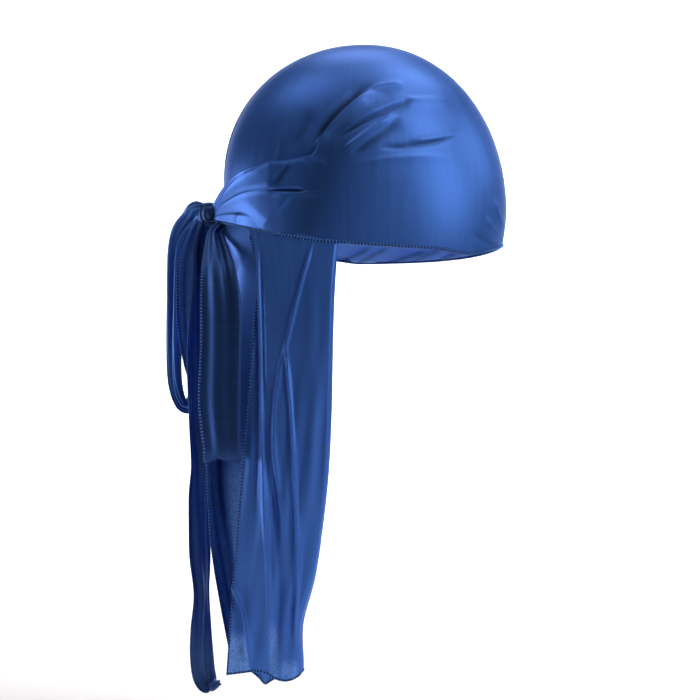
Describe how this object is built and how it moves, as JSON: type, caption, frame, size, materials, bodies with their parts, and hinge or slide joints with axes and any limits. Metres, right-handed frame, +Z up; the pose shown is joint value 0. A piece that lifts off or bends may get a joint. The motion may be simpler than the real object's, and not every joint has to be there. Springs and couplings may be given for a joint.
{
  "type": "durag",
  "caption": "Satin durag in the form it has on a head: smooth domed crown with a middle seam, straps wrapped back to a bow behind, and a long tail flap",
  "frame": {"origin": "middle of the head opening, level with the hems over the ears, where a head sits", "axes": "+X to the forehead, +Y to the wearer's left, +Z up to the crown's top"},
  "size_m": [0.252, 0.157, 0.4732],
  "materials": {
    "satin": "royal blue polyester satin, soft sheen, fine weave",
    "seam_thread": "matte overlock thread, a darker blue"
  },
  "bodies": {
    "root": {"crown_right": "satin", "crown_left": "satin", "centre_seam": "seam_thread", "strap_right": "satin", "strap_left": "satin", "knot": "satin", "narrow_loop": "satin", "wide_loop": "satin", "long_end": "satin", "short_end": "satin", "tail": "satin"}
  },
  "joints": []
}
